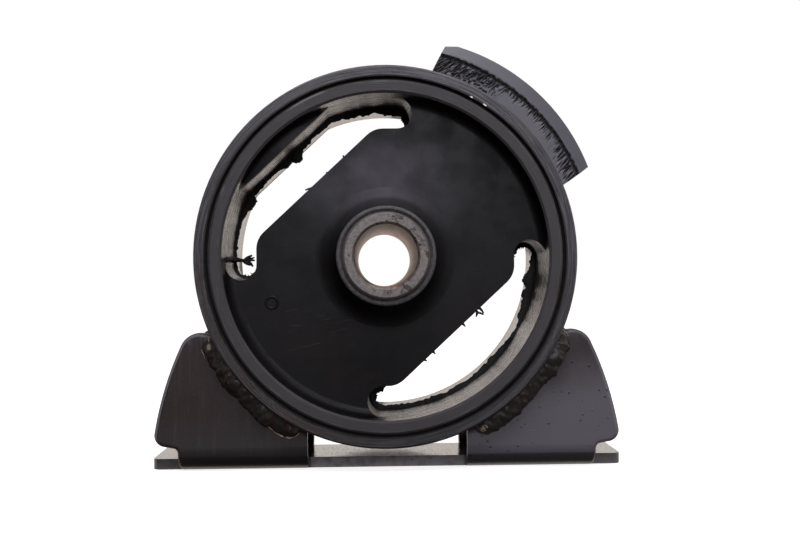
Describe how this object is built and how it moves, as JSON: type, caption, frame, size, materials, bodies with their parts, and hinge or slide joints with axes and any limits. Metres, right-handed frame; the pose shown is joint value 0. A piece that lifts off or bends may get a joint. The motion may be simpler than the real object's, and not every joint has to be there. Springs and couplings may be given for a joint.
{
  "type": "engine mount",
  "caption": "Rubber bush engine mount: windowed rubber web round a through-bolt sleeve in a steel ring, with an outer stop block, welded to a folded bracket.",
  "frame": {"origin": "middle of the through-bolt bore, midway between the sleeve's two ends", "axes": "+Y along the through-bolt bore, +Z away from the base plate, +X along the base plate towards the side that carries the stop block"},
  "size_m": [0.103, 0.06, 0.0916],
  "materials": {
    "black_coated_steel": "thin black electro-coat, satin",
    "shell_steel": "phosphated steel, dark and dull",
    "sleeve_steel": "dull zinc-phosphated steel, copper-tinted in the bore",
    "spring_rubber": "moulded black natural rubber, soft sheen",
    "stopper_rubber": "black rubber, smooth rim and torn faces",
    "weld_bead": "black-coated weld bead with rust-brown specks"
  },
  "bodies": {
    "root": {"outer_tube": "black_coated_steel", "mounting_bracket": "black_coated_steel", "bush_outer_shell": "shell_steel", "inner_sleeve": "sleeve_steel", "rubber_spring": "spring_rubber", "stopper_block": "stopper_rubber", "weld_front_left": "weld_bead", "weld_front_right": "weld_bead", "weld_rear_left": "weld_bead", "weld_rear_right": "weld_bead"}
  },
  "joints": []
}
